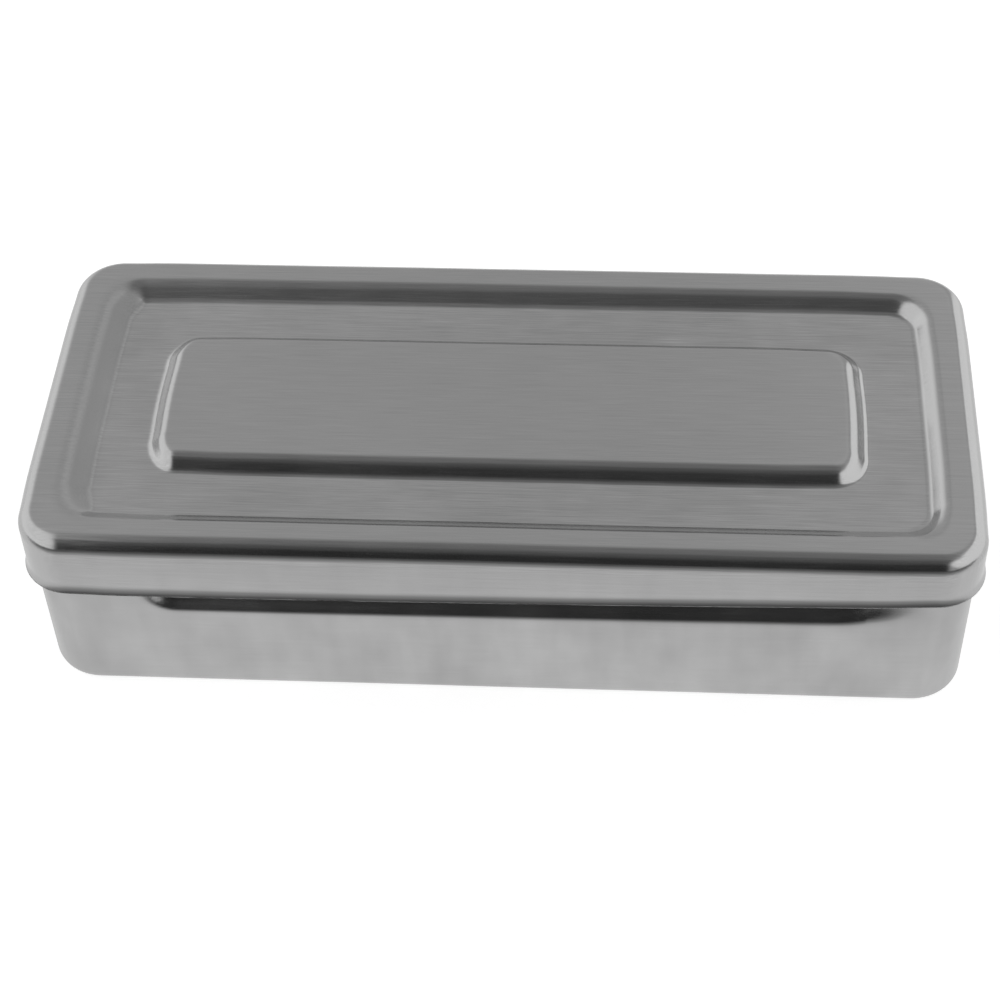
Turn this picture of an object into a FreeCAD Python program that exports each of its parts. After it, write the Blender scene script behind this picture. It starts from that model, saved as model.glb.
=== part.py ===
import FreeCAD, Part
import math
import os
import Sketcher

# Sterilization container: a drawn stainless tray for instruments and the lid that lifts off it.
# Millimetres, +Z up. The origin is the middle of the face that the tray rests on, and +X is along
# the long side. Each piece is pressed from one sheet of steel, so it is the difference of two
# forms: its outside, and the same form set in by the sheet's thickness.

document = FreeCAD.newDocument("SterilizationContainer")

# Driving sizes
SIZES = (
    ("sheet", 0.8, "thickness of the steel sheet"),
    ("lid_length", 182.0, "over the lid's skirt, along X"),
    ("lid_width", 80.7, "over the lid's skirt, along Y"),
    ("lid_corner", 9.5, "plan radius of the lid's corners"),
    ("lid_depth", 13.9, "from the lid's cut edge to its top"),
    ("lid_shoulder", 3.2, "outer radius between the lid's skirt and its top"),
    ("lip_flare", 0.5, "how far the lid's cut edge stands out of the skirt"),
    ("lip_height", 1.05, "height of the flared lip"),
    ("lip_blend", 3.0, "outer radius that blends the skirt into the lip"),
    ("channel_depth", 2.6, "depth of the channel pressed round the lid's top"),
    ("channel_draft", 44.0, "how far the channel's walls lean, in degrees from upright"),
    ("channel_brow", 2.4, "outer radius at the brow of the channel's walls"),
    ("channel_foot", 1.4, "outer radius at the foot of the channel's walls"),
    ("rim_width", 7.75, "from the skirt to the channel's outer brow"),
    ("rim_corner", 7.6, "plan radius of the channel's outer brow"),
    ("channel_width", 16.3, "across the channel, from brow to brow"),
    ("plateau_corner", 4.4, "plan radius of the raised middle's brow"),
    ("tray_height", 40.0, "from the resting face to the tray's cut edge"),
    ("tray_corner", 10.3, "plan radius of the tray's corners at its cut edge"),
    ("tray_draft", 0.5, "how far the tray's walls lean out, in degrees"),
    ("tray_bottom", 3.0, "outer radius between the tray's walls and its bottom"),
    ("lid_clearance", 0.35, "gap between the tray's edge and the inside of the skirt"),
    ("seat_clearance", 0.5, "gap between the tray's edge and the curve straight over it"),
    ("neck_depth", 1.9, "how far the neck is pressed in behind the tray's edge"),
    ("neck_height", 17.6, "from the tray's cut edge down to the neck's brow"),
    ("neck_end", 21.5, "from the tray's corner to the neck's end, along each side"),
    ("neck_round", 7.0, "radius where the neck's foot turns up at its ends"),
    ("neck_draft", 45.0, "how far the neck's foot and ends lean, in degrees"),
    ("neck_blend", 1.2, "outer radius at the brow and the foot of the neck"),
)

sizes = document.addObject("Spreadsheet::Sheet", "Sizes")
for row, (alias, value, meaning) in enumerate(SIZES, start=1):
    sizes.set(f"A{row}", alias)
    sizes.set(f"B{row}", str(value))
    sizes.setAlias(f"B{row}", alias)
    sizes.set(f"C{row}", meaning)
document.recompute()


def bind(holder, property_name, expression):
    """Binds a property to an expression that names driving sizes in braces."""
    holder.setExpression(property_name, expression.replace("{", "Sizes.").replace("}", ""))


# Where the two pieces meet: the tray's cut edge stands just inside the skirt, and the inside of
# the lid's shoulder comes down over it.
INNER_SHOULDER = "({lid_shoulder} - {sheet})"
EDGE_REACH = f"({INNER_SHOULDER} - {{lid_clearance}})"
SHOULDER_DROP = f"({INNER_SHOULDER} - sqrt({INNER_SHOULDER}^2 - {EDGE_REACH}^2))"
LID_TOP = f"({{tray_height}} + {{seat_clearance}} + {SHOULDER_DROP} + {{sheet}})"
LID_EDGE = f"({LID_TOP} - {{lid_depth}})"
LIP_ANGLE = "atan({lip_flare} / {lip_height})"


# Sketches
def origin_plane(body, role):
    """One of the body's own origin planes."""
    return next(item for item in body.Origin.OriginFeatures if item.Role == role)


def start_sketch(body, name, role, along_normal, up="0"):
    """A sketch parallel to an origin plane, moved along its normal and up its own second axis."""
    sketch = body.newObject("Sketcher::SketchObject", name)
    sketch.AttachmentSupport = (origin_plane(body, role), "")
    sketch.MapMode = "FlatFace"
    bind(sketch, "AttachmentOffset.Base.z", along_normal)
    bind(sketch, "AttachmentOffset.Base.y", up)
    return sketch


def draw_rounded_rectangle(sketch, length, width, radius):
    """A rounded rectangle about the sketch's origin: four sides joined by four quarter arcs."""
    flat_x, flat_y, corner = 50.0, 20.0, 5.0
    axis = FreeCAD.Vector(0, 0, 1)
    for quarter in range(4):
        turn = FreeCAD.Rotation(axis, 90 * quarter)
        reach_x, reach_y = (flat_x, flat_y) if quarter % 2 == 0 else (flat_y, flat_x)
        start = turn.multVec(FreeCAD.Vector(-reach_x, -reach_y - corner, 0))
        end = turn.multVec(FreeCAD.Vector(reach_x, -reach_y - corner, 0))
        centre = turn.multVec(FreeCAD.Vector(reach_x, -reach_y, 0))
        sketch.addGeometry(Part.LineSegment(start, end))
        arc_start = math.radians(90 * quarter - 90)
        circle = Part.Circle(centre, axis, corner)
        sketch.addGeometry(Part.ArcOfCircle(circle, arc_start, arc_start + math.pi / 2))
    for piece in range(8):
        sketch.addConstraint(Sketcher.Constraint("Tangent", piece, 2, (piece + 1) % 8, 1))
    for line, direction in ((0, "Horizontal"), (2, "Vertical"), (4, "Horizontal"), (6, "Vertical")):
        sketch.addConstraint(Sketcher.Constraint(direction, line))
    for arc in (3, 5, 7):
        sketch.addConstraint(Sketcher.Constraint("Equal", 1, arc))
    sketch.addConstraint(Sketcher.Constraint("Symmetric", 0, 1, 4, 1, -1, 1))
    dimensions = (
        ("length", Sketcher.Constraint("DistanceX", 6, 1, 2, 1, 2 * (flat_x + corner)), length),
        ("width", Sketcher.Constraint("DistanceY", 0, 1, 4, 1, 2 * (flat_y + corner)), width),
        ("radius", Sketcher.Constraint("Radius", 1, corner), radius),
    )
    for name, constraint, expression in dimensions:
        sketch.renameConstraint(sketch.addConstraint(constraint), name)
        bind(sketch, f"Constraints.{name}", expression)


# Features
def extrude(body, kind, name, sketch, length, draft, downwards=False):
    """A pad or pocket of a sketch whose walls lean by a draft angle."""
    before = body.Tip.Shape.Volume if body.Tip else 0.0
    feature = body.newObject(f"PartDesign::{kind}", name)
    feature.Profile = sketch
    feature.Reversed = downwards
    bind(feature, "Length", length)
    bind(feature, "TaperAngle", draft)
    document.recompute()
    grown = feature.Shape.Volume - before
    if (kind == "Pad") != (grown > 0.0) or abs(grown) < 1.0:
        raise RuntimeError(f"{name} points away from the form")
    return feature


def is_level(box, height):
    """Whether a face or edge with this box lies in the level plane at a height."""
    return abs(box.ZMin - height) < 0.001 and abs(box.ZMax - height) < 0.001


def lean_walls(body, name, base, hinge_height, draft):
    """A draft on the upright faces: they lean in, going down, from the level face at a height."""
    upright = []
    hinge = []
    for number, face in enumerate(base.Shape.Faces, start=1):
        if is_level(face.BoundBox, hinge_height):
            hinge.append(f"Face{number}")
        elif face.BoundBox.ZLength > 0.001:
            upright.append(f"Face{number}")
    lean = body.newObject("PartDesign::Draft", name)
    lean.Base = (base, upright)
    lean.NeutralPlane = (base, hinge)
    lean.Reversed = True
    bind(lean, "Angle", draft)
    document.recompute()
    if lean.Shape.Volume >= base.Shape.Volume:
        raise RuntimeError(f"{name} leans the wrong way")
    return lean


def round_edges(body, name, base, is_chosen, radius):
    """A fillet on the last feature's edges whose box and middle point pass the test."""
    chosen = []
    for number, edge in enumerate(base.Shape.Edges, start=1):
        middle = edge.valueAt(0.5 * (edge.FirstParameter + edge.LastParameter))
        if is_chosen(edge.BoundBox, middle):
            chosen.append(f"Edge{number}")
    fillet = body.newObject("PartDesign::Fillet", name)
    fillet.Base = (base, chosen)
    bind(fillet, "Radius", radius)
    document.recompute()
    return fillet


def touches(shape, point):
    """Whether a point lies on a shape's faces or edges."""
    return shape.distToShape(Part.Vertex(point))[0] < 0.001


def drawn_piece(label, form):
    """A piece of even sheet: a form, less the same form set in by the sheet's thickness."""
    piece = document.addObject("Part::Cut", label)
    piece.Base = form(f"{label}_outside", "(0 * {sheet})")
    piece.Tool = form(f"{label}_inside", "{sheet}")
    return piece


# The lid: a shallow pan with a flared lip, a level rim, a channel pressed all round its top and a
# raised middle that is level with the rim, so that containers stack.
def lid_form(name, inset):
    body = document.addObject("PartDesign::Body", name)
    top = f"({LID_TOP} - {inset})"
    lip_top = f"({LID_EDGE} + {{lip_height}} - {inset} * tan({LIP_ANGLE} / 2))"
    length = f"({{lid_length}} - 2 * {inset})"
    width = f"({{lid_width}} - 2 * {inset})"
    corner = f"({{lid_corner}} - {inset})"

    skirt_outline = start_sketch(body, f"{name}_skirt_outline", "XY_Plane", lip_top)
    draw_rounded_rectangle(skirt_outline, length, width, corner)
    skirt = extrude(body, "Pad", f"{name}_skirt", skirt_outline, f"{top} - {lip_top}", "0")
    top_height = skirt.Shape.BoundBox.ZMax

    def is_top(box, middle):
        return is_level(box, top_height)

    round_edges(body, f"{name}_shoulder", skirt, is_top, f"{{lid_shoulder}} - {inset}")

    lip_outline = start_sketch(body, f"{name}_lip_outline", "XY_Plane", lip_top)
    draw_rounded_rectangle(lip_outline, length, width, corner)
    lip_length = f"{lip_top} - {LID_EDGE}"
    lip = extrude(body, "Pad", f"{name}_lip", lip_outline, lip_length, LIP_ANGLE, downwards=True)
    lip_root = lip_outline.Placement.Base.z

    def is_lip_root(box, middle):
        return is_level(box, lip_root)

    round_edges(body, f"{name}_lip_blend", lip, is_lip_root, f"{{lip_blend}} + {inset}")

    # The channel is pocketed over the whole top, and the raised middle is padded back.
    wall_shift = f"({inset} * tan((90 - {{channel_draft}}) / 2))"
    rim = f"2 * ({{rim_width}} - {wall_shift})"
    brow_length = f"{{lid_length}} - {rim}"
    brow_width = f"{{lid_width}} - {rim}"
    brow_outline = start_sketch(body, f"{name}_channel_outline", "XY_Plane", top)
    draw_rounded_rectangle(brow_outline, brow_length, brow_width, f"{{rim_corner}} + {wall_shift}")
    channel_draft = "-{channel_draft}"
    channel = extrude(
        body, "Pocket", f"{name}_channel", brow_outline, "{channel_depth}", channel_draft
    )
    border = f"2 * ({{rim_width}} + {{channel_width}} + {wall_shift})"
    plateau_length = f"{{lid_length}} - {border}"
    plateau_width = f"{{lid_width}} - {border}"
    plateau_corner = f"{{plateau_corner}} - {wall_shift}"
    plateau_outline = start_sketch(body, f"{name}_plateau_outline", "XY_Plane", top)
    draw_rounded_rectangle(plateau_outline, plateau_length, plateau_width, plateau_corner)
    plateau = extrude(
        body,
        "Pad",
        f"{name}_plateau",
        plateau_outline,
        "{channel_depth}",
        "{channel_draft}",
        downwards=True,
    )
    floor_height = top_height - channel.Length.Value
    brow_reach = brow_outline.Shape.BoundBox
    brow_reach.enlarge(0.001)

    def is_channel_foot(box, middle):
        return is_level(box, floor_height)

    def is_channel_brow(box, middle):
        return is_level(box, top_height) and brow_reach.isInside(middle)

    foot = round_edges(
        body, f"{name}_channel_foot", plateau, is_channel_foot, f"{{channel_foot}} + {inset}"
    )
    round_edges(
        body, f"{name}_channel_brow", foot, is_channel_brow, f"{{channel_brow}} - {inset}"
    )
    return body


# The tray: a deep drawn box with leaning walls and a rounded bottom. Along the straight part of
# each side the wall is pressed in, from its cut edge down, to a neck whose foot turns up at the
# ends. The corners keep their full size and guide the lid's skirt.
def tray_form(name, inset):
    body = document.addObject("PartDesign::Body", name)
    wall_inset = f"({inset} / cos({{tray_draft}}))"
    setback = f"({{sheet}} + {{lid_clearance}} + {wall_inset})"
    length = f"({{lid_length}} - 2 * {setback})"
    width = f"({{lid_width}} - 2 * {setback})"
    depth = f"{{tray_height}} - {inset}"
    edge_outline = start_sketch(body, f"{name}_edge_outline", "XY_Plane", "{tray_height}")
    draw_rounded_rectangle(edge_outline, length, width, f"{{tray_corner}} - {wall_inset}")
    block = extrude(body, "Pad", f"{name}_block", edge_outline, depth, "0", downwards=True)
    bottom_height = block.Shape.BoundBox.ZMin
    cut_edge = block.Shape.BoundBox.ZMax
    wall = lean_walls(body, f"{name}_wall", block, cut_edge, "{tray_draft}")

    def is_bottom(box, middle):
        return is_level(box, bottom_height)

    pan = round_edges(body, f"{name}_bottom", wall, is_bottom, f"{{tray_bottom}} - {inset}")

    # The necks: one pocket on a long side and one on a short side, each mirrored to the other.
    outline_shift = f"({inset} * tan({{neck_draft}} / 2))"
    ends = f"2 * ({{neck_end}} - {wall_inset} - {outline_shift})"
    foot_reach = f"2 * ({{neck_height}} + {outline_shift})"
    foot_round = f"{{neck_round}} + {outline_shift}"
    floors = []
    sides = (("long", "XZ_Plane", width, length), ("short", "YZ_Plane", length, width))
    for side, role, across, along in sides:
        outline = start_sketch(
            body, f"{name}_{side}_neck_outline", role, f"{across} / 2", "{tray_height}"
        )
        draw_rounded_rectangle(outline, f"{along} - {ends}", foot_reach, foot_round)
        neck = extrude(
            body, "Pocket", f"{name}_{side}_neck", outline, "{neck_depth}", "-{neck_draft}"
        )
        necks = body.newObject("PartDesign::Mirrored", f"{name}_{side}_neck_pair")
        necks.Originals = [neck]
        necks.MirrorPlane = (origin_plane(body, role), [""])
        body.Tip = necks
        document.recompute()
        plane_reach = max(abs(outline.Placement.Base.x), abs(outline.Placement.Base.y))
        floors.append(plane_reach - neck.Length.Value)

    long_floor, short_floor = floors
    skin = pan.Shape.Shells[0]
    seams = Part.Compound(pan.Shape.Edges)

    def is_neck_foot(box, middle):
        on_long_side = box.YLength < 0.001 and abs(abs(middle.y) - long_floor) < 0.001
        on_short_side = box.XLength < 0.001 and abs(abs(middle.x) - short_floor) < 0.001
        return (on_long_side or on_short_side) and not is_level(box, cut_edge)

    def is_neck_brow(box, middle):
        is_new = touches(skin, middle) and not touches(seams, middle)
        return is_new and not is_level(box, cut_edge)

    foot = round_edges(body, f"{name}_neck_foot", necks, is_neck_foot, f"{{neck_blend}} + {inset}")
    round_edges(body, f"{name}_neck_brow", foot, is_neck_brow, f"{{neck_blend}} - {inset}")
    return body


pieces = (drawn_piece("tray", tray_form), drawn_piece("lid", lid_form))
document.recompute()

for item in document.Objects:
    if "Invalid" in item.State or "Error" in item.State:
        raise RuntimeError(f"{item.Label} failed")
for piece in pieces:
    if piece.Shape.isNull() or not piece.Shape.isValid() or len(piece.Shape.Solids) != 1:
        raise RuntimeError(f"{piece.Label} is not one valid solid")

os.makedirs("parts", exist_ok=True)
for piece in pieces:
    piece.Shape.exportStep(f"parts/{piece.Label}.step")
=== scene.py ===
import math

import bmesh
import bpy
import numpy as np
from mathutils import Matrix, Vector


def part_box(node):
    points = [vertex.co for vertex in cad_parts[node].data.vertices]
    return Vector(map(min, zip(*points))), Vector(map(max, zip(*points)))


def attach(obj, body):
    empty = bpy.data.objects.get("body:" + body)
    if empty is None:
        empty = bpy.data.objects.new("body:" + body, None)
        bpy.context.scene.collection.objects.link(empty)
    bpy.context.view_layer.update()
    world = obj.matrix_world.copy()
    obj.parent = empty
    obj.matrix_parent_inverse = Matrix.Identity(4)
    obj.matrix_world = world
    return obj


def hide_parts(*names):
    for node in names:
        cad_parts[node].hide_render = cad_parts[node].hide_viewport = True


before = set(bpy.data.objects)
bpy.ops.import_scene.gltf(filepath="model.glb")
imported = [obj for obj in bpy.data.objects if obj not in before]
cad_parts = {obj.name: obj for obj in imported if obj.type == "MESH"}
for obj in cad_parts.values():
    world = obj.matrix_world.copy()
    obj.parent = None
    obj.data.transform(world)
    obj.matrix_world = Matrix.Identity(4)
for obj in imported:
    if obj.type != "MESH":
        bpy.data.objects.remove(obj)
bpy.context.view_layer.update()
MM = 0.001


# The tray: a deep drawn box of stainless sheet, its walls leaning out a little and its bottom
# rounded. On the straight stretch of each side the wall is pressed in from the cut edge down,
# so only the corners touch the lid's skirt. Satin brushed before it is drawn.
SHEET = 0.8 * MM
EDGE_ROUND = 0.24 * MM
SWELL_LENGTH = 26 * MM
tray_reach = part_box("tray")[1]
tray_corner = 10.3 * MM
tray_bottom = 3.0 * MM
tray_draft = math.radians(0.5)
wall_lean = tray_reach.z * math.tan(tray_draft)
neck_end = 21.5 * MM
tray_sizes = {
    "Half Length": tray_reach.x,
    "Half Width": tray_reach.y,
    "Brim": tray_reach.z,
    "Unevenness": 0.10 * MM,
    "Neck Depth": 1.9 * MM,
    "Neck Height": 17.15 * MM,
    "Neck End": neck_end,
    "Neck Round": 7.0 * MM,
    "Neck Blend": 1.0 * MM,
    "Right Turn": 10 * MM,
    "Right End": 12.4 * MM,
    "Right End Stretch": 1.2,
    "Right Deepening": 0.5 * MM,
    "Right Foot Rise": 1.3 * MM,
}


class Graph:
    """A node tree written in formulas: add() makes any node, and its results are Terms."""

    def __init__(self, tree):
        self.tree = tree

    def add(self, kind, settings=None, inputs=None):
        """A node of a kind, its settings first and then the values or links of its sockets."""
        node = self.tree.nodes.new(kind)
        for name, value in (settings or {}).items():
            setattr(node, name, value)
        for name, value in (inputs or {}).items():
            if isinstance(value, Term):
                self.tree.links.new(value.socket, node.inputs[name])
            else:
                node.inputs[name].default_value = value
        return Term(self, node, next((s for s in node.outputs if s.enabled), None))

    def vector(self, x, y, z):
        """Three numbers joined to a vector."""
        return self.add("ShaderNodeCombineXYZ", inputs={0: x, 1: y, 2: z})

    def noise(self, vector, scale, detail):
        """Soft noise: its Fac swings about 0.5, and so does each part of its Color."""
        inputs = {"Vector": vector, "Scale": scale, "Detail": detail}
        return self.add("ShaderNodeTexNoise", {"noise_dimensions": "3D"}, inputs)


class Term:
    """One result of a node. An operator on it adds the Math node that works the result out."""

    def __init__(self, graph, node, socket):
        self.graph, self.node, self.socket = graph, node, socket

    def out(self, name):
        return Term(self.graph, self.node, self.node.outputs[name])

    def math(self, operation, *terms):
        inputs = dict(enumerate((self, *terms)))
        return self.graph.add("ShaderNodeMath", {"operation": operation}, inputs)

    def __add__(self, other):
        return self.math("ADD", other)

    def __mul__(self, other):
        return self.math("MULTIPLY", other)

    def __sub__(self, other):
        return self.math("SUBTRACT", other)

    def __rsub__(self, other):
        return (self * -1.0) + other

    def __truediv__(self, other):
        return self.math("DIVIDE", other)

    def __abs__(self):
        return self.math("ABSOLUTE")

    __radd__ = __add__
    __rmul__ = __mul__

    def hump(self, middle, width):
        """A bell that is 1 where this has the value of the middle and fades within the width."""
        away = (self - middle) / width
        return (away * away * -1.0).math("EXPONENT")

    def smooth_step(self, low, high, start=0.0, end=1.0):
        """Eases from start to end while this goes from low to high."""
        inputs = {"Value": self, "From Min": low, "From Max": high, "To Min": start, "To Max": end}
        return self.graph.add("ShaderNodeMapRange", {"interpolation_type": "SMOOTHSTEP"}, inputs)

    def parts(self):
        """The X, Y and Z of a vector."""
        split = self.graph.add("ShaderNodeSeparateXYZ", inputs={0: self})
        return split.out("X"), split.out("Y"), split.out("Z")


def rounded_path(corners, arc_steps, run_step):
    """Points and outward normals along straight runs whose corners are rounded.

    Each corner is (inset, height, radius). The outside lies to the left of the path. A short
    step at each end of a run keeps the shading of a rounding off the flat.
    """
    short_step, short_share = 0.3 * MM, 0.3
    spots = [Vector(corner[:2]) for corner in corners]
    radii = [corner[2] for corner in corners]
    points, normals = [], []

    def add(point, direction):
        points.append(point)
        normals.append(Vector((-direction.y, direction.x)))

    start = spots[0]
    for number in range(1, len(spots)):
        run = (spots[number] - spots[number - 1]).normalized()
        turn = 0.0
        if number < len(spots) - 1:
            after = (spots[number + 1] - spots[number]).normalized()
            turn = math.atan2(run.x * after.y - run.y * after.x, run.dot(after))
        setback = radii[number] * math.tan(abs(turn) / 2)
        end = spots[number] - run * setback
        length = (end - start).length
        guard = min(short_step, short_share * length)
        steps = max(1, round((length - 2 * guard) / run_step))
        for place in (0.0, *np.linspace(guard, length - guard, steps + 1), length):
            add(start + run * float(place), run)
        if setback == 0.0:
            start = end
            continue
        side = math.copysign(1.0, turn)
        centre = end + Vector((-run.y, run.x)) * radii[number] * side
        for step in range(1, arc_steps):
            spin = Matrix.Rotation(turn * step / arc_steps, 2)
            add(centre + spin @ (end - centre), spin @ run)
        start = centre + Matrix.Rotation(turn, 2) @ (end - centre)
    return points, normals


def sheet_section(name, corners, outside, plan_radius, arc_steps, run_step):
    """A mesh of single points: the closed section of a sheet, from its middle out over the
    outside, round the cut edge and back along the inside.

    outside is 1 where the outside lies to the left of the corners' path and -1 to the right. A
    point's place holds its inset from the outline, the outline's corner radius there and its
    height. layer is how deep in the sheet it lies and edge tells whether it is on the cut edge.
    """
    edge_steps = 3
    points, normals = rounded_path(corners, arc_steps, run_step)
    normals = [normal * outside for normal in normals]
    brim, inward = points[-1], -normals[-1]
    beyond = (points[-1] - points[-2]).normalized()
    rows = [(point, point.x, 0.0, 0.0) for point in points[:-1]]
    angles = [math.radians(90 / edge_steps * step) for step in range(edge_steps + 1)]
    rounding = [(EDGE_ROUND * (1 - math.cos(a)), EDGE_ROUND * (math.sin(a) - 1)) for a in angles]
    rounding += [(SHEET - depth, reach) for depth, reach in reversed(rounding)]
    for depth, reach in rounding:
        rows.append((brim + inward * depth + beyond * reach, brim.x, depth, 1.0))
    for point, normal in list(zip(points, normals))[-2::-1]:
        rows.append((point - normal * SHEET, point.x, SHEET, 0.0))
    places = []
    for spot, outer_inset, _, _ in rows:
        radius = plan_radius(outer_inset) - (spot.x - outer_inset)
        places.append((spot.x, max(radius, 0.0), spot.y))
    mesh = bpy.data.meshes.new(name)
    mesh.from_pydata(places, [], [])
    for attribute, column in (("layer", 2), ("edge", 3)):
        mesh.attributes.new(attribute, "FLOAT", "POINT").data.foreach_set(
            "value", [row[column] for row in rows]
        )
    section = bpy.data.objects.new(name, mesh)
    bpy.context.scene.collection.objects.link(section)
    return section


def outline_plan(name, long_places, short_places, corner_steps):
    """A mesh of single points round a rounded rectangle, anticlockwise from the front right.

    A point's place is the share of the straight half lengths, from -1 to 1, and its facing
    is the way out of the outline.
    """
    places, facings = [], []
    for quarter in range(4):
        spin = Matrix.Rotation(math.radians(90 * quarter), 3, "Z")
        for step in range(corner_steps):
            angle = math.radians(90 * (step / corner_steps) - 90)
            places.append(spin @ Vector((1, -1, 0)))
            facings.append(spin @ Vector((math.cos(angle), math.sin(angle), 0)))
        for place in short_places if quarter % 2 == 0 else long_places:
            places.append(spin @ Vector((1, place, 0)))
            facings.append(spin @ Vector((1, 0, 0)))
    mesh = bpy.data.meshes.new(name)
    mesh.from_pydata(places, [], [])
    mesh.attributes.new("facing", "FLOAT_VECTOR", "POINT").data.foreach_set(
        "vector", [number for facing in facings for number in facing]
    )
    plan = bpy.data.objects.new(name, mesh)
    bpy.context.scene.collection.objects.link(plan)
    return plan


class SheetPoint:
    """A point of a drawn sheet, in Terms: where it lies in the section and on the plan."""

    def __init__(self, given, place, layer, share, facing):
        self.given, self.layer = given, layer
        self.inset, self.radius, self.height = place.parts()
        self.share_x, self.share_y, _ = share.parts()
        self.facing_x, self.facing_y, _ = facing.parts()
        self.half_x, self.half_y = self.size("Half Length"), self.size("Half Width")
        self.to_right = (self.share_x + 1.0) * 0.5

    def size(self, name):
        return self.given.out(name)

    def straight(self, inset):
        """Half the straight stretches of the outline at an inset, along X and Y."""
        return self.half_x - inset - self.radius, self.half_y - inset - self.radius

    def across(self, inset):
        """X and Y of the point on the outline at an inset."""
        straight_x, straight_y = self.straight(inset)
        x = self.share_x * straight_x + self.facing_x * self.radius
        y = self.share_y * straight_y + self.facing_y * self.radius
        return x, y

    def from_left_to_right(self, left, right):
        """Goes from one size at the left end to another at the right end."""
        return self.size(left) + (self.size(right) - self.size(left)) * self.to_right


def sweep_sheet(graph, press):
    """The nodes that sweep a section of sheet round a plan. press() places each point."""
    given = graph.add("NodeGroupInput")
    section = given.out("Section")
    plan = graph.add("GeometryNodeObjectInfo", inputs={"Object": given.out("Plan")}).out("Geometry")

    def count(geometry):
        return graph.add("GeometryNodeAttributeDomainSize", inputs={0: geometry}).out("Point Count")

    def read(geometry, index, name=None, kind="FLOAT_VECTOR"):
        if name:
            value = graph.add("GeometryNodeInputNamedAttribute", {"data_type": kind}, {"Name": name})
        else:
            value = graph.add("GeometryNodeInputPosition")
        picked = {"Geometry": geometry, "Value": value, "Index": index}
        return graph.add("GeometryNodeSampleIndex", {"data_type": kind}, picked)

    rows, columns = count(section), count(plan)
    grid = graph.add("GeometryNodeMeshGrid", inputs={"Vertices X": columns + 1, "Vertices Y": rows})
    index = graph.add("GeometryNodeInputIndex")
    row = index.math("FLOORED_MODULO", rows)
    column = ((index + 0.5) / rows).math("FLOOR").math("FLOORED_MODULO", columns)
    point = SheetPoint(
        given,
        place=read(section, row),
        layer=read(section, row, "layer", "FLOAT"),
        share=read(plan, column),
        facing=read(plan, column, "facing"),
    )
    place = graph.vector(*press(point))
    swell = graph.noise(place, scale=1.0 / SWELL_LENGTH, detail=1.0).out("Color")
    swing = graph.add("ShaderNodeVectorMath", {"operation": "SUBTRACT"}, {0: swell, 1: (0.5, 0.5, 0.5)})
    swing = graph.add(
        "ShaderNodeVectorMath", {"operation": "SCALE"}, {0: swing, "Scale": point.size("Unevenness")}
    )
    shaped = graph.add(
        "GeometryNodeSetPosition",
        inputs={"Geometry": grid.out("Mesh"), "Position": place, "Offset": swing},
    )
    edge = read(section, row, "edge", "FLOAT")
    marked = graph.add(
        "GeometryNodeStoreNamedAttribute",
        {"data_type": "FLOAT", "domain": "POINT"},
        {"Geometry": shaped, "Name": "cut_edge", "Value": edge},
    )
    joined = graph.add(
        "GeometryNodeMergeByDistance", inputs={"Geometry": marked, "Distance": 0.002 * MM}
    )
    smooth = graph.add("GeometryNodeSetShadeSmooth", inputs={"Geometry": joined})
    whole = graph.add("GeometryNodeRealizeInstances", inputs={"Geometry": smooth})
    finished = graph.add(
        "GeometryNodeSetMaterial", inputs={"Geometry": whole, "Material": given.out("Steel")}
    )
    graph.add("NodeGroupOutput", inputs={"Sheet": finished})


def draw_sheet(name, section, plan, steel, sizes, press):
    """The mesh piece that geometry nodes draw from a section and a plan, with named sizes."""
    tree = bpy.data.node_groups.new(f"draw_{name}", "GeometryNodeTree")
    tree.is_modifier = True
    tree.interface.new_socket("Section", in_out="INPUT", socket_type="NodeSocketGeometry")
    kinds = {"Plan": "NodeSocketObject", "Steel": "NodeSocketMaterial"}
    values = {}
    for label, value in {"Plan": plan, "Steel": steel, **sizes}.items():
        kind = kinds.get(label, "NodeSocketFloat")
        socket = tree.interface.new_socket(label, in_out="INPUT", socket_type=kind)
        values[socket.identifier] = value
    tree.interface.new_socket("Sheet", in_out="OUTPUT", socket_type="NodeSocketGeometry")
    sweep_sheet(Graph(tree), press)

    modifier = section.modifiers.new("drawing", "NODES")
    modifier.node_group = tree
    for identifier, value in values.items():
        modifier[identifier] = value
    ready = section.evaluated_get(bpy.context.evaluated_depsgraph_get())
    mesh = bpy.data.meshes.new_from_object(ready)
    mesh.name = name
    piece = bpy.data.objects.new(name, mesh)
    bpy.context.scene.collection.objects.link(piece)
    for pattern in (section, plan):
        bpy.data.objects.remove(pattern)
    shape = bmesh.new()
    shape.from_mesh(mesh)
    bmesh.ops.recalc_face_normals(shape, faces=shape.faces)
    if shape.calc_volume(signed=True) < 0:
        bmesh.ops.reverse_faces(shape, faces=shape.faces)
    shape.to_mesh(mesh)
    shape.free()
    return piece


def new_material(name):
    """A material without nodes, and the graph to write them in."""
    material = bpy.data.materials.new(name)
    material.use_nodes = True
    material.node_tree.nodes.clear()
    return material, Graph(material.node_tree)


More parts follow.
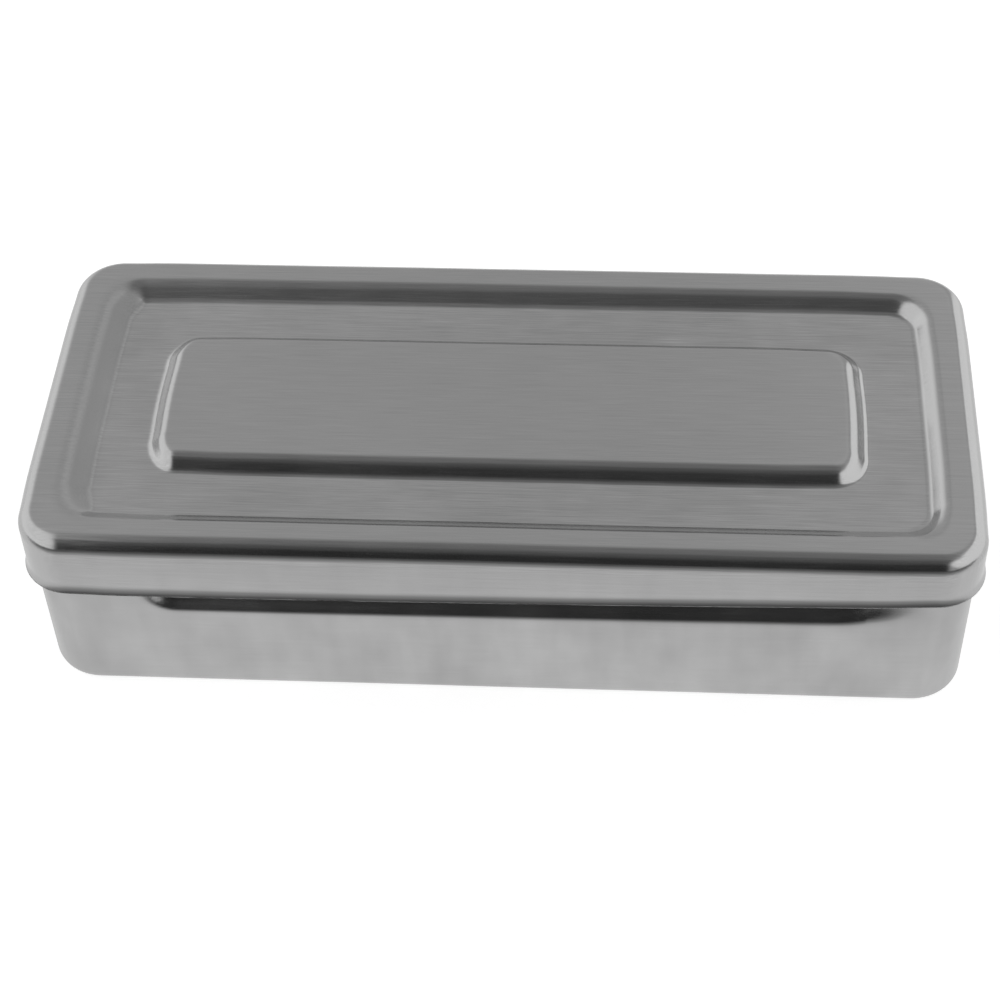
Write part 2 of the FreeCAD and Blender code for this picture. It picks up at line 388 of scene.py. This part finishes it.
def brushed_steel(name, grey, roughness, stroke_depth, mottle, streaks, drawn_height):
    """Stainless sheet brushed along X while it was flat: the fine strokes run on down the walls.

    Below the drawn height the sheet was drawn through the die. That mottles it, and makes its
    strokes stand out just below that height and fade again further down. mottle and streaks say
    how much. The cut edge is polished, and on top of that it gets a painted highlight: its colour
    is raised and part of its metal is taken away, so it shows as a pale bright line.
    """
    fine_tone, coarse_tone, coarse_share = 0.24, 0.10, 0.6
    flat_mottle, smear_share = 0.06, 0.6
    drawn_blend, calm_start, calm_end, calm_share = 0.6 * MM, 2.0 * MM, 4.0 * MM, 0.4
    fine_roughness, cloud_roughness = 0.12, 0.10
    # The cut edge: a little less rough from its polish, plus a painted highlight that raises its colour
    # and makes it less metallic.
    edge_painted_highlight, edge_polish, edge_highlight_paleness = 0.5, 0.08, 0.7
    material, graph = new_material(name)
    coordinates = graph.add("ShaderNodeTexCoord")
    x, y, z = coordinates.out("Object").parts()
    facing_x, _, _ = coordinates.out("Normal").parts()
    on_end = abs(facing_x).smooth_step(0.35, 0.75)

    def strokes(length, width, detail, seed):
        """Noise in fine lines along the brushing, which runs on over the ends."""
        across = 1.0 / width
        stretched = graph.vector(x / length + seed, y * across, z * across * (1.0 - on_end))
        return graph.noise(stretched, scale=1.0, detail=detail).out("Fac")

    def clouds(width, height):
        """Soft spots about as wide and as high as given."""
        spread = graph.vector(x / width, y / width, z / height)
        return graph.noise(spread, scale=1.0, detail=2.0).out("Fac")

    fine = strokes(length=9.0 * MM, width=0.22 * MM, detail=3.0, seed=0.0) - 0.5
    coarse = strokes(length=26.0 * MM, width=0.5 * MM, detail=2.0, seed=7.0) - 0.5
    cloud = clouds(width=16.0 * MM, height=16.0 * MM) - 0.5
    smear = clouds(width=5.0 * MM, height=18.0 * MM) - 0.5
    edge = graph.add("ShaderNodeAttribute", {"attribute_name": "cut_edge"}).out("Fac")
    drawn = z.smooth_step(drawn_height - drawn_blend, drawn_height + drawn_blend, 1.0, 0.0)
    calm = z.smooth_step(drawn_height - calm_end, drawn_height - calm_start, calm_share, 1.0)

    stroke_tone = (fine * fine_tone + coarse * coarse_tone) * (drawn * streaks + 1.0) * calm
    mottle_tone = cloud * (drawn * mottle + flat_mottle) + smear * drawn * mottle * smear_share
    # The last factor paints a highlight on the cut edge by raising its colour.
    level = (stroke_tone + mottle_tone + 1.0) * (edge * edge_painted_highlight + 1.0) * grey
    colour = graph.add("ShaderNodeCombineColor", inputs={0: level, 1: level, 2: level})
    rough = fine * fine_roughness + cloud * cloud_roughness + roughness - edge * edge_polish
    relief = {"Strength": 1.0, "Distance": stroke_depth, "Height": fine + coarse * coarse_share}
    finish = {
        "Base Color": colour,
        # On the cut edge part of the metal is taken away for the painted highlight, so it shows pale.
        "Metallic": 1.0 - edge * edge_highlight_paleness,
        "Roughness": rough,
        "Normal": graph.add("ShaderNodeBump", inputs=relief),
    }
    shader = graph.add("ShaderNodeBsdfPrincipled", inputs=finish)
    graph.add("ShaderNodeOutputMaterial", inputs={"Surface": shader})
    return material


def tray_plan_radius(inset):
    """The tray's corners shrink with its outline, down the walls and under the bottom."""
    knots = (0.0, wall_lean + tray_bottom, tray_reach.y)
    radii = (tray_corner, tray_corner - wall_lean - tray_bottom, 0.0)
    return float(np.interp(inset, knots, radii))


def crowded(half_straight, low, high, step, fine_step):
    """Places from -1 to 1 along a side, close together from low to high either side of its middle."""
    runs = ((0.0, low, step), (low, high, fine_step), (high, half_straight, step))
    places = {0.0}
    for start, end, gap in runs:
        places.update(np.linspace(start, end, max(2, round((end - start) / gap) + 1)))
    shares = sorted(round(place / half_straight, 6) for place in places)
    return [-share for share in reversed(shares[1:])] + shares


def neck_places(reach):
    """The places along one of the tray's sides, crowded where its neck ends."""
    end = reach - neck_end
    return crowded(
        half_straight=reach - tray_corner,
        low=end - 9 * MM,
        high=end + 1 * MM,
        step=3.5 * MM,
        fine_step=0.6 * MM,
    )


def press_necks(point):
    """Presses the necks in and gives each point's X, Y and height.

    A neck's floor lies its depth in. Its foot and rounded ends rise from there at 45 degrees,
    so their depth is the distance inside the neck's outline. To the right a neck is a little
    deeper, its foot lies higher and is softer, and it runs out later and more slowly.
    """
    size, facing_x, facing_y = point.size, point.facing_x, point.facing_y
    x, y = point.across(point.inset)
    along = abs(x * facing_y) + abs(y * facing_x)
    half = abs(point.half_x * facing_y) + abs(point.half_y * facing_x)
    rightward = x.smooth_step(size("Right Turn") * -1.0, size("Right Turn")) * abs(facing_y)
    end = half - size("Neck End") - (size("Right End") - size("Neck End")) * rightward
    past_end = (along - end) / (rightward * size("Right End Stretch") + 1.0) + size("Neck Round")
    far_right = point.to_right * point.to_right
    foot = size("Brim") - size("Neck Height") + far_right * size("Right Foot Rise")
    past_foot = foot - point.height + size("Neck Round")
    out_x, out_y = past_end.math("MAXIMUM", 0.0), past_foot.math("MAXIMUM", 0.0)
    outside = (out_x * out_x + out_y * out_y).math("SQRT")
    inside = past_end.math("MAXIMUM", past_foot).math("MINIMUM", 0.0)
    half_bend = math.radians(45) / 2
    reach = size("Neck Round") - outside - inside + point.layer * math.tan(half_bend)
    deepest = size("Neck Depth") + far_right * size("Right Deepening")
    slope = reach.math("SMOOTH_MIN", deepest, size("Neck Blend")) + point.layer
    softness = size("Neck Blend") * (point.to_right + 1.0)
    depth = slope.math("SMOOTH_MAX", point.inset, softness) - point.inset
    return x - facing_x * depth, y - facing_y * depth, point.height


tray = draw_sheet(
    "tray_sheet",
    sheet_section(
        "tray_section",
        [
            (tray_reach.y, 0.0, 0.0),
            (wall_lean, 0.0, tray_bottom),
            (0.0, tray_reach.z, 0.0),
        ],
        outside=1,
        plan_radius=tray_plan_radius,
        arc_steps=12,
        run_step=0.6 * MM,
    ),
    outline_plan(
        "tray_plan",
        long_places=neck_places(tray_reach.x),
        short_places=neck_places(tray_reach.y),
        corner_steps=16,
    ),
    brushed_steel(
        "satin_steel",
        grey=0.55,
        roughness=0.22,
        stroke_depth=0.003 * MM,
        mottle=0.34,
        streaks=0.0,
        drawn_height=tray_reach.z,
    ),
    tray_sizes,
    press_necks,
)
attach(tray, "tray")
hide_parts("tray")


# The lid: a shallow pan of the same sheet, drawn with a flared lip, a rounded shoulder and a
# channel all round its top that leaves a raised middle level with the rim. It lies loose over
# the tray's cut edge.
lid_low, lid_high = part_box("lid")
lip_flare = 0.5 * MM
lip_height = 1.25 * MM
lip_blend = 5.6 * MM
skirt_reach = Vector((lid_high.x - lip_flare, lid_high.y - lip_flare))
lid_corner = 9.5 * MM
lid_shoulder = 3.2 * MM
shoulder_drop = 3 * MM
rim_width = 7.75 * MM
rim_corner = 7.6 * MM
channel_depth = 2.6 * MM
channel_width = 16.3 * MM
channel_brow = 3.0 * MM
channel_foot = 1.8 * MM
channel_floor = lid_high.z - channel_depth
wall_run = channel_depth * math.tan(math.radians(44.0))
channel_feet = (rim_width + wall_run, rim_width + channel_width - wall_run)
plateau_inset = rim_width + channel_width
plateau_corner = 4.4 * MM
plateau_brow = 3.3 * MM
lid_sizes = {
    "Half Length": skirt_reach.x,
    "Half Width": skirt_reach.y,
    "Unevenness": 0.10 * MM,
    "Skirt Foot": lid_low.z,
    "Skirt Top": lid_high.z - shoulder_drop,
    "Skirt Trim": 2.5 * MM,
    "Front Fall": 0.12 * MM,
    "Fall Inset": 2.2 * MM,
    "Fall Width": 1.4 * MM,
    "Wall Middle": rim_width + wall_run / 2,
    "Wall Width": 3.5 * MM,
    "Left Wall Shift": 1.15 * MM,
    "Front Wall Shift": 0.5 * MM,
    "Left Wall Stretch": 0.86,
    "Front Wall Stretch": 0.45,
    "Back Left Stretch": 0.60,
    "Back Right Stretch": 0.24,
    "Plateau Middle": plateau_inset - wall_run / 2,
    "Plateau Width": 3.0 * MM,
    "Left Plateau Shift": 0.65 * MM,
    "Front Plateau Shift": 0.3 * MM,
    "Easing": 0.28 * MM,
    "Easing Length": 6.0 * MM,
    "Easing Inset": 27 * MM,
    "Easing End": 34 * MM,
    "Left Sag": 0.30 * MM,
    "Right Sag": 0.06 * MM,
    "Sag Length": 14.0 * MM,
    "Sag Width": 12.0 * MM,
}


def lid_plan_radius(inset):
    """The corner radius of the lid's outline, which each pressed form carries in its own way."""
    blend = 0.7 * MM
    knots = (
        (-lip_flare, lid_corner + lip_flare),
        (lid_shoulder, lid_corner - lid_shoulder),
        (rim_width - blend, rim_corner + blend),
        (channel_feet[0] + blend, rim_corner - wall_run - blend),
        (channel_feet[1] - blend, plateau_corner + wall_run + blend),
        (plateau_inset + blend, plateau_corner - blend),
        (skirt_reach.y, 0.0),
    )
    return float(np.interp(inset, [knot[0] for knot in knots], [knot[1] for knot in knots]))


def finish_lid(point):
    """Gives each point's X, Y and height, with the small differences of a hand-finished lid."""
    size, inset, height = point.size, point.inset, point.height
    side_start = 0.2
    to_left = (point.facing_x * -1.0).smooth_step(side_start, 1.0)
    to_front = (point.facing_y * -1.0).smooth_step(side_start, 1.0)
    to_back = point.facing_y.smooth_step(side_start, 1.0)
    # The front shoulder falls off a little earlier than the others.
    on_top = height.smooth_step(size("Skirt Foot"), size("Skirt Top"))
    fall = inset.hump(size("Fall Inset"), size("Fall Width")) * size("Front Fall")
    height = height - to_front * on_top * fall
    # The wall on the channel's outer side lies a little further out along the front and further
    # in on the left, and is gentler in both places and, towards the left, at the back.
    past = inset - size("Wall Middle")
    shift = to_left * size("Left Wall Shift") - to_front * size("Front Wall Shift")
    stretch = to_left * size("Left Wall Stretch") + to_front * size("Front Wall Stretch")
    stretch = stretch + to_back * point.from_left_to_right("Back Left Stretch", "Back Right Stretch")
    inset = inset + past.hump(0.0, size("Wall Width")) * (shift + past * stretch)
    # The plateau's wall is moved the same way.
    shift = to_left * size("Left Plateau Shift") - to_front * size("Front Plateau Shift")
    inset = inset + inset.hump(size("Plateau Middle"), size("Plateau Width")) * shift
    # The straight sides ease into their corners, except on the plateau.
    straight_x, straight_y = point.straight(inset)
    from_arc = (1.0 - abs(point.share_x)) * straight_x + (1.0 - abs(point.share_y)) * straight_y
    easing = inset.smooth_step(size("Easing Inset"), size("Easing End"), size("Easing"), 0.0)
    inset = inset + from_arc.hump(0.0, size("Easing Length")) * easing
    # The front corners of the top sag a little.
    x, y = point.across(inset)
    corner = (point.half_x - abs(x)).hump(0.0, size("Sag Length"))
    corner = corner * (point.half_y + y).hump(0.0, size("Sag Width"))
    height = height - corner * on_top * point.from_left_to_right("Left Sag", "Right Sag")
    # The skirt is trimmed a little shorter towards the right.
    trim = height.smooth_step(size("Skirt Foot"), size("Skirt Top"), size("Skirt Trim"), 0.0)
    return x, y, height + trim * point.to_right * point.to_right


lid = draw_sheet(
    "lid_sheet",
    sheet_section(
        "lid_section",
        [
            (skirt_reach.y, lid_high.z, 0.0),
            (plateau_inset, lid_high.z, plateau_brow),
            (channel_feet[1], channel_floor, channel_foot),
            (channel_feet[0], channel_floor, channel_foot),
            (rim_width, lid_high.z, channel_brow),
            (0.0, lid_high.z, lid_shoulder),
            (0.0, lid_low.z + lip_height, lip_blend),
            (-lip_flare, lid_low.z, 0.0),
        ],
        outside=-1,
        plan_radius=lid_plan_radius,
        arc_steps=12,
        run_step=0.7 * MM,
    ),
    outline_plan(
        "lid_plan",
        long_places=list(np.linspace(-1, 1, 49)),
        short_places=list(np.linspace(-1, 1, 21)),
        corner_steps=24,
    ),
    brushed_steel(
        "brushed_steel",
        grey=0.575,
        roughness=0.18,
        stroke_depth=0.004 * MM,
        mottle=0.16,
        streaks=0.8,
        drawn_height=lid_high.z - 1.6 * MM,
    ),
    lid_sizes,
    finish_lid,
)
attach(lid, "lid")
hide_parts("lid")


# The floor: a pale sheet that the box stands on, glowing white to the camera. In front the steel
# mirrors it dim, as it does the room towards the camera.
floor_left, floor_right = -1.5, 1.5
floor_front, floor_back = -0.6, 2.0
paper_grey = (0.80, 0.80, 0.80, 1.0)
camera_glow = 0.73


def panel(name, corners, material):
    """A flat sheet of one material with four corners."""
    mesh = bpy.data.meshes.new(name)
    mesh.from_pydata(corners, [], [(0, 1, 2, 3)])
    mesh.materials.append(material)
    sheet = bpy.data.objects.new(name, mesh)
    bpy.context.scene.collection.objects.link(sheet)
    return sheet


paper, graph = new_material("floor_paper")
sight = graph.add("ShaderNodeLightPath")
_, depth, _ = graph.add("ShaderNodeTexCoord").out("Object").parts()
pale = graph.add("ShaderNodeBsdfDiffuse", inputs={"Color": paper_grey})
glow = graph.add("ShaderNodeEmission", inputs={"Strength": sight.out("Is Camera Ray") * camera_glow})
lit = graph.add("ShaderNodeAddShader", inputs={0: pale, 1: glow})
in_front = depth.smooth_step(-0.20, -0.09, 0.12, 0.34)
before_box = depth.smooth_step(-0.10, -0.070, 0.0, 0.33)
at_box = depth.smooth_step(-0.070, -0.052, 0.0, 0.09)
mirrored = graph.add("ShaderNodeEmission", inputs={"Strength": in_front + before_box + at_box})
both = graph.add("ShaderNodeMixShader", inputs={0: sight.out("Is Glossy Ray"), 1: lit, 2: mirrored})
graph.add("ShaderNodeOutputMaterial", inputs={"Surface": both})
floor = panel(
    "floor",
    [
        (floor_left, floor_front, 0.0),
        (floor_right, floor_front, 0.0),
        (floor_right, floor_back, 0.0),
        (floor_left, floor_back, 0.0),
    ],
    paper,
)


# The light: a pale room, dark in front around the camera, with a large soft box up on the left
# and one lower on the right. Levels of 1 are white.
wall_level, wall_rise = 0.51, 0.20
ceiling_level = 0.24
left_box_level, right_box_level = 1.05, 1.15
gloom_low, gloom_high = 0.038, 0.14
world = bpy.data.worlds.new("room")
bpy.context.scene.world = world
world.use_nodes = True
world.node_tree.nodes.clear()
graph = Graph(world.node_tree)
direction = graph.add("ShaderNodeTexCoord").out("Generated")
across, back, up = direction.parts()


def soft_box(azimuth, elevation, spread, blur):
    """1 within a spread of a direction and 0 past the blur, all in degrees, azimuth from +Y."""
    turn, lift = math.radians(azimuth), math.radians(elevation)
    level = math.cos(lift)
    middle = (math.sin(turn) * level, math.cos(turn) * level, math.sin(lift))
    nearness = graph.add(
        "ShaderNodeVectorMath", {"operation": "DOT_PRODUCT"}, {0: direction, 1: middle}
    ).out("Value")
    return nearness.smooth_step(math.cos(math.radians(spread + blur)), math.cos(math.radians(spread)))


def covered(behind, level, mask):
    """What is behind, with a level in its place where the mask is 1."""
    return behind + (level - behind) * mask


right_of_middle = across.smooth_step(0.02, 0.13, 0.0, 0.07) - across.smooth_step(0.15, 0.4, 0.0, 0.18)
right_wall = across.smooth_step(0.58, 0.9, 0.0, 0.60)
left_wall = (across * -1.0).smooth_step(0.32, 0.64, 0.0, 0.46)
walls = abs(across) * wall_rise + wall_level + right_of_middle + right_wall + left_wall
overhead = up.smooth_step(0.84, 0.99)
left_box = soft_box(azimuth=-115, elevation=47, spread=27, blur=15)
left_box = left_box * up.smooth_step(0.15, 0.45) * up.smooth_step(0.90, 0.97, 1.0, 0.0)
right_box = soft_box(azimuth=105, elevation=30, spread=30, blur=14)
right_box = right_box * up.smooth_step(0.0, 0.2) * up.smooth_step(0.76, 0.90, 1.0, 0.0)
camera_side = abs(across).smooth_step(0.32, 0.46, 1.0, 0.0) * back.smooth_step(-0.34, -0.04, 1.0, 0.0)
gloom = up.smooth_step(0.55, 1.0, gloom_low, gloom_high)
room = covered(walls, ceiling_level, overhead)
room = covered(room, left_box_level, left_box)
room = covered(room, right_box_level, right_box)
room = covered(room, gloom, camera_side)
room = covered(room, 1.0, graph.add("ShaderNodeLightPath").out("Is Camera Ray"))
shine = graph.add("ShaderNodeBackground", inputs={"Strength": room})
graph.add("ShaderNodeOutputWorld", inputs={"Surface": shine})


# A white card close by on the right, just outside the picture. Only the steel mirrors it, and
# only from the right half of the lid, because it stands so near.
card_right = 0.2
card_front, card_back = -0.05, 0.25
card_foot, card_top = 0.03, 0.23
card_glow = 0.92
card_paper, graph = new_material("card")
shine = graph.add("ShaderNodeEmission", inputs={"Strength": card_glow})
graph.add("ShaderNodeOutputMaterial", inputs={"Surface": shine})
card = panel(
    "card",
    [
        (card_right, card_front, card_foot),
        (card_right, card_back, card_foot),
        (card_right, card_back, card_top),
        (card_right, card_front, card_top),
    ],
    card_paper,
)
card.visible_camera = card.visible_diffuse = card.visible_shadow = False


# The camera: placed by the outlines of the box in the photograph, 47 degrees up and a little to
# the right, and turned a little about its own axis.
PICTURE = 1000
FOCAL_PIXELS = 2356.9


def camera_matrix(elevation, azimuth, roll, distance, slide, aim):
    """A camera that looks at a point from a distance, slid in its own plane."""
    level = Vector((-math.sin(azimuth), math.cos(azimuth), 0.0))
    forward = level * math.cos(elevation) - Vector((0, 0, math.sin(elevation)))
    right = forward.cross(Vector((0, 0, 1))).normalized()
    upward = right.cross(forward)
    turned_right = right * math.cos(roll) + upward * math.sin(roll)
    turned_up = upward * math.cos(roll) - right * math.sin(roll)
    spot = aim - forward * distance + turned_right * slide[0] + turned_up * slide[1]
    matrix = Matrix((turned_right, turned_up, -forward)).transposed().to_4x4()
    matrix.translation = spot
    return matrix


camera_data = bpy.data.cameras.new("camera")
camera_data.sensor_width = 36.0
camera_data.lens = FOCAL_PIXELS * camera_data.sensor_width / PICTURE
camera_data.clip_start = 0.01
camera = bpy.data.objects.new("camera", camera_data)
camera.matrix_world = camera_matrix(
    elevation=math.radians(46.95),
    azimuth=math.radians(4.99),
    roll=math.radians(-2.285),
    distance=0.47509,
    slide=(-1.91 * MM, -4.10 * MM),
    aim=Vector((0, 0, 20 * MM)),
)
bpy.context.scene.collection.objects.link(camera)
bpy.context.scene.camera = camera
bpy.context.scene.view_settings.view_transform = "Standard"
